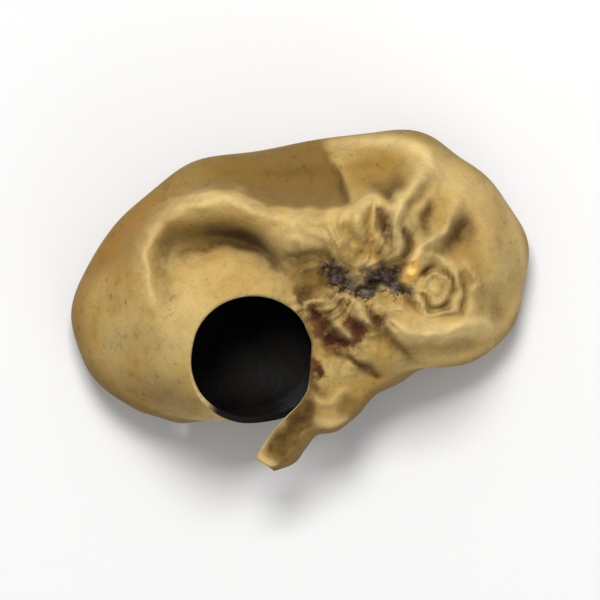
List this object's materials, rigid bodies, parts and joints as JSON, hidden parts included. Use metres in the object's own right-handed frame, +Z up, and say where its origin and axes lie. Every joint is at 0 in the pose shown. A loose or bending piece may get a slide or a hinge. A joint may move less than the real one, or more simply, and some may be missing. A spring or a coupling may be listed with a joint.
{
  "type": "dried wood ear mushroom",
  "caption": "Whole dried wood ear, a stiff curled sheet with a pale felted back, a black inner face, a rolled margin and a round mouth at its west lobe.",
  "frame": {"origin": "middle of the ear's outline, on the surface that it rests on", "axes": "+X along the longest extent, from the rolled west lobe to the folded east lobe; +Y away from the tab; +Z up, the way the pale back faces"},
  "size_m": [0.0338, 0.0252, 0.014],
  "materials": {
    "dried_flesh": "dry, matt and felted outside, smooth and black inside"
  },
  "bodies": {
    "root": {"wood_ear": "dried_flesh"}
  },
  "joints": []
}
